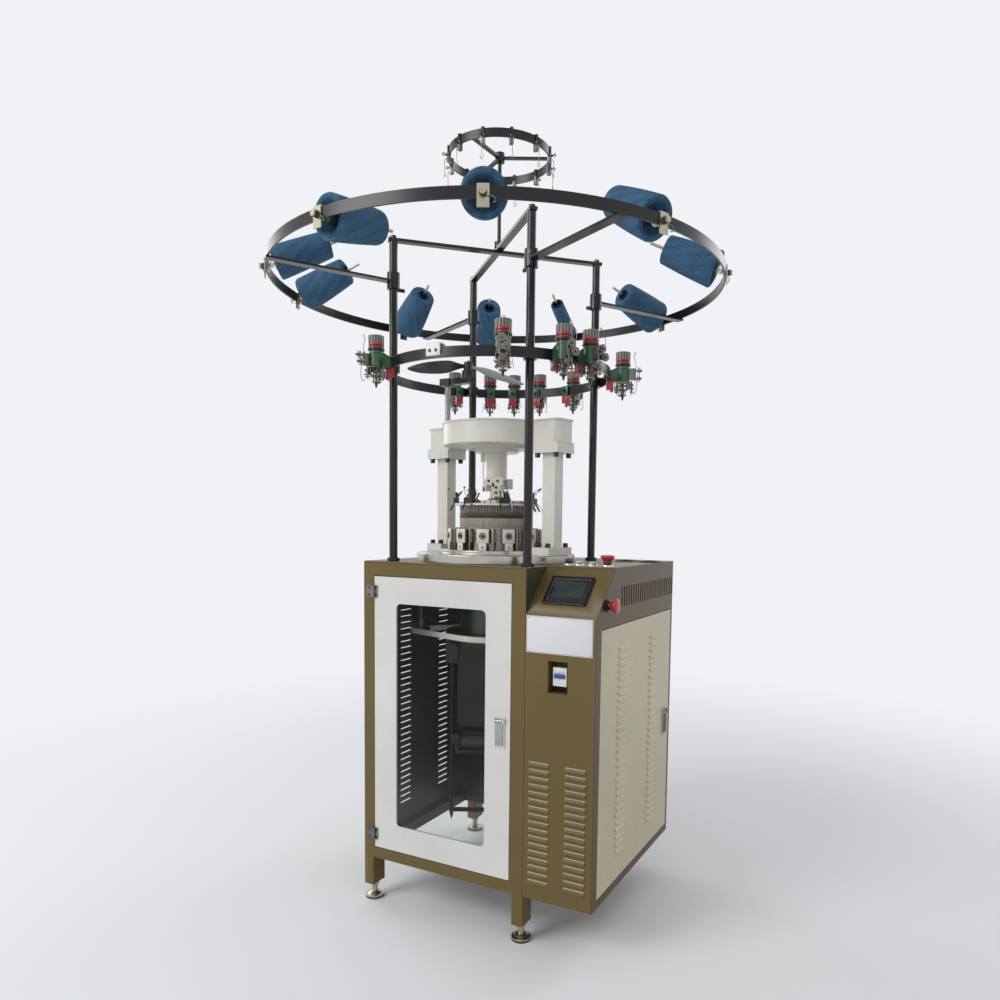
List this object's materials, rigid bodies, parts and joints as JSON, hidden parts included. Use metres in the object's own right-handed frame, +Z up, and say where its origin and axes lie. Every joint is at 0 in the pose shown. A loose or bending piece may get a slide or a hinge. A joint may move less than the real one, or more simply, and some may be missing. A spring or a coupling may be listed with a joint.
{
  "type": "industrial knitting machine",
  "caption": "Circular hat knitting machine: glazed steel cabinet, console, needle cylinder head, ring of yarn feeders and a creel ring of yarn cones",
  "frame": {"origin": "on the floor, under the axis of the needle cylinder and the creel ring", "axes": "+Z up, +Y to the back of the cabinet, +X to the control box on the machine's right side"},
  "size_m": [1.2194, 1.2406, 2.065],
  "materials": {
    "olive_paint": "satin olive-brown enamel",
    "door_paint": "satin warm grey enamel",
    "side_door_paint": "satin beige enamel",
    "ivory_paint": "satin ivory enamel on castings",
    "black_paint": "gloss black enamel",
    "green_paint": "green enamel on feeder castings",
    "steel": "bright machined steel",
    "chrome": "plated steel",
    "black_plastic": "black moulded plastic",
    "white_plastic": "light moulded plastic",
    "red_plastic": "red moulded plastic",
    "blue_plastic": "blue moulded plastic",
    "window_glass": "clear door glass",
    "belt_rubber": "light grey belt",
    "foot_rubber": "black rubber",
    "yarn": "blue yarn wound on cones"
  },
  "bodies": {
    "machine": {"cabinet_frame": "olive_paint", "cabinet_lid": "olive_paint", "left_panel": "olive_paint", "back_panel": "olive_paint", "rear_partition": "olive_paint", "control_box": "olive_paint", "drive_modules": "black_plastic", "levelling_feet": "foot_rubber", "door_hinges": "chrome", "touch_screen": "black_plastic", "breaker": "white_plastic", "switch_collars": "white_plastic", "base_plate": "ivory_paint", "columns": "ivory_paint", "top_casting": "ivory_paint", "casting_cover": "ivory_paint", "dial_tube": "ivory_paint", "cam_ring": "steel", "yarn_fingers": "black_paint", "creel_posts": "black_paint", "crossbars": "black_paint", "top_ring": "black_paint", "creel_ring": "black_paint", "creel_arms": "black_paint", "cone_holders": "chrome", "yarn_cones": "yarn", "feeder_ring": "black_paint", "feeder_bodies": "green_paint", "fan_stand": "steel", "drive_motor": "black_paint", "drive_belt": "belt_rubber"},
    "front_door": {"front_door": "door_paint", "door_glass": "window_glass"},
    "front_latch": {"front_latch": "chrome"},
    "side_door": {"side_door": "side_door_paint"},
    "side_latch": {"side_latch": "black_plastic"},
    "breaker_toggle": {"breaker_toggle": "blue_plastic"},
    "estop_top": {"estop_top": "red_plastic"},
    "estop_side": {"estop_side": "red_plastic"},
    "selector": {"selector": "black_plastic"},
    "button_left": {"button_left": "white_plastic"},
    "button_right": {"button_right": "white_plastic"},
    "knitting_rotor": {"needle_cylinder": "steel", "rotor_pulley": "steel", "takedown_frame": "black_paint"},
    "dial": {"dial": "ivory_paint"},
    "roller_front": {"roller_front": "steel"},
    "roller_back": {"roller_back": "steel"},
    "drive_shaft": {"drive_shaft": "steel"},
    "fan_blades": {"fan_blades": "steel"},
    "feeder_wheel_1": {"feeder_wheel_1": "steel"},
    "feeder_wheel_2": {"feeder_wheel_2": "steel"},
    "feeder_wheel_3": {"feeder_wheel_3": "steel"},
    "feeder_wheel_4": {"feeder_wheel_4": "steel"},
    "feeder_wheel_5": {"feeder_wheel_5": "steel"},
    "feeder_wheel_6": {"feeder_wheel_6": "steel"},
    "feeder_wheel_7": {"feeder_wheel_7": "steel"},
    "feeder_wheel_8": {"feeder_wheel_8": "steel"},
    "feeder_wheel_9": {"feeder_wheel_9": "steel"},
    "feeder_wheel_10": {"feeder_wheel_10": "steel"}
  },
  "joints": [
    {"name": "front_door_swing", "type": "hinge", "parent": "machine", "child": "front_door", "pos_m": [-0.2425, -0.2425, 0.5345], "axis": [0, 0, -1], "range_deg": [0, 120]},
    {"name": "front_latch_lift", "type": "hinge", "parent": "front_door", "child": "front_latch", "pos_m": [0.154, -0.2435, 0.566], "axis": [-1, 0, 0], "range_deg": [0, 60]},
    {"name": "side_door_swing", "type": "hinge", "parent": "machine", "child": "side_door", "pos_m": [0.407, -0.202, 0.478], "axis": [0, 0, -1], "range_deg": [0, 110]},
    {"name": "side_latch_lift", "type": "hinge", "parent": "side_door", "child": "side_latch", "pos_m": [0.416, 0.297, 0.508], "axis": [0, -1, 0], "range_deg": [0, 60]},
    {"name": "breaker_flip", "type": "hinge", "parent": "machine", "child": "breaker_toggle", "pos_m": [0.31125, -0.2215, 0.6905], "axis": [1, 0, 0], "range_deg": [0, 70]},
    {"name": "estop_top_press", "type": "slide", "parent": "machine", "child": "estop_top", "axis": [0, 0, -1], "range_m": [0, 0.004]},
    {"name": "estop_side_press", "type": "slide", "parent": "machine", "child": "estop_side", "axis": [-1, 0, 0], "range_m": [0, 0.004]},
    {"name": "selector_turn", "type": "hinge", "parent": "machine", "child": "selector", "pos_m": [0.2655, -0.084, 0.958], "axis": [0, 0, 1], "range_deg": [0, 90]},
    {"name": "button_left_press", "type": "slide", "parent": "machine", "child": "button_left", "axis": [0, 0, -1], "range_m": [0, 0.0025], "stiffness_N_per_m": 400},
    {"name": "button_right_press", "type": "slide", "parent": "machine", "child": "button_right", "axis": [0, 0, -1], "range_m": [0, 0.0025], "stiffness_N_per_m": 400},
    {"name": "cylinder_spin", "type": "hinge", "parent": "machine", "child": "knitting_rotor", "pos_m": [0, 0, 1.04], "axis": [0, 0, 1], "continuous": true},
    {"name": "dial_spin", "type": "hinge", "parent": "machine", "child": "dial", "pos_m": [0, 0, 1.116], "axis": [0, 0, 1], "continuous": true},
    {"name": "roller_front_spin", "type": "hinge", "parent": "knitting_rotor", "child": "roller_front", "pos_m": [0.00853, -0.01675, 0.436], "axis": [0.891, 0.454, 0], "continuous": true},
    {"name": "roller_back_spin", "type": "hinge", "parent": "knitting_rotor", "child": "roller_back", "pos_m": [-0.00853, 0.01675, 0.436], "axis": [0.891, 0.454, 0], "continuous": true},
    {"name": "drive_shaft_spin", "type": "hinge", "parent": "machine", "child": "drive_shaft", "pos_m": [-0.2134, -0.06119, 0.745], "axis": [0, 0, 1], "continuous": true},
    {"name": "fan_spin", "type": "hinge", "parent": "machine", "child": "fan_blades", "pos_m": [-0.09497, -0.00407, 1.5], "axis": [0.0698, 0, 0.9976], "continuous": true},
    {"name": "feeder_spin_1", "type": "hinge", "parent": "machine", "child": "feeder_wheel_1", "pos_m": [0.18388, -0.29427, 1.468], "axis": [0, 0, 1], "continuous": true},
    {"name": "feeder_spin_2", "type": "hinge", "parent": "machine", "child": "feeder_wheel_2", "pos_m": [0.29102, -0.18899, 1.468], "axis": [0, 0, 1], "continuous": true},
    {"name": "feeder_spin_3", "type": "hinge", "parent": "machine", "child": "feeder_wheel_3", "pos_m": [0.3281, -0.11297, 1.468], "axis": [0, 0, 1], "continuous": true},
    {"name": "feeder_spin_4", "type": "hinge", "parent": "machine", "child": "feeder_wheel_4", "pos_m": [0.31449, 0.14665, 1.468], "axis": [0, 0, 1], "continuous": true},
    {"name": "feeder_spin_5", "type": "hinge", "parent": "machine", "child": "feeder_wheel_5", "pos_m": [0.07806, 0.33811, 1.468], "axis": [0, 0, 1], "continuous": true},
    {"name": "feeder_spin_6", "type": "hinge", "parent": "machine", "child": "feeder_wheel_6", "pos_m": [-0.04229, 0.34441, 1.468], "axis": [0, 0, 1], "continuous": true},
    {"name": "feeder_spin_7", "type": "hinge", "parent": "machine", "child": "feeder_wheel_7", "pos_m": [-0.12435, 0.32395, 1.468], "axis": [0, 0, 1], "continuous": true},
    {"name": "feeder_spin_8", "type": "hinge", "parent": "machine", "child": "feeder_wheel_8", "pos_m": [-0.19404, 0.28768, 1.468], "axis": [0, 0, 1], "continuous": true},
    {"name": "feeder_spin_9", "type": "hinge", "parent": "machine", "child": "feeder_wheel_9", "pos_m": [-0.27713, 0.20883, 1.468], "axis": [0, 0, 1], "continuous": true},
    {"name": "feeder_spin_10", "type": "hinge", "parent": "machine", "child": "feeder_wheel_10", "pos_m": [-0.19404, -0.28768, 1.468], "axis": [0, 0, 1], "continuous": true}
  ],
  "couplings": [
    {"joint": "dial_spin", "follows": "cylinder_spin", "ratio": 1},
    {"joint": "drive_shaft_spin", "follows": "cylinder_spin", "ratio": 5.3846},
    {"joint": "roller_back_spin", "follows": "roller_front_spin", "ratio": -1}
  ]
}
